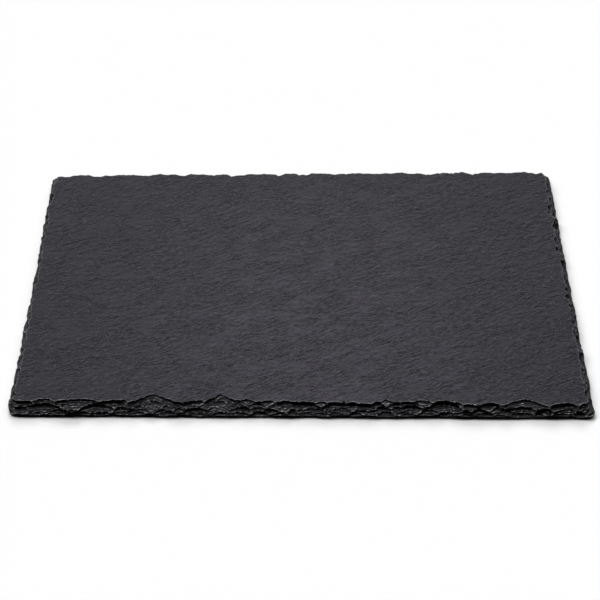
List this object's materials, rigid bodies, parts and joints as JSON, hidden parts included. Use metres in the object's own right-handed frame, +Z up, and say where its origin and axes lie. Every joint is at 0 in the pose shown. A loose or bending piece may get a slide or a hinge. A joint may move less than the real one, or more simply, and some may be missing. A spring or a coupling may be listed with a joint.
{
  "type": "slate basking platform",
  "caption": "Thin rectangular slab of dark slate with a flat riven face and hand-chipped edges, lying flat as a basking or display platform.",
  "frame": {"origin": "middle of the slab's bounding box, on the surface that the slab lies on", "axes": "+X along the long front edge, +Y from the front edge to the back one, +Z up out of the upper face"},
  "size_m": [0.3004, 0.202, 0.0065],
  "materials": {
    "slate": "matte"
  },
  "bodies": {
    "root": {"slate_slab": "slate"}
  },
  "joints": []
}
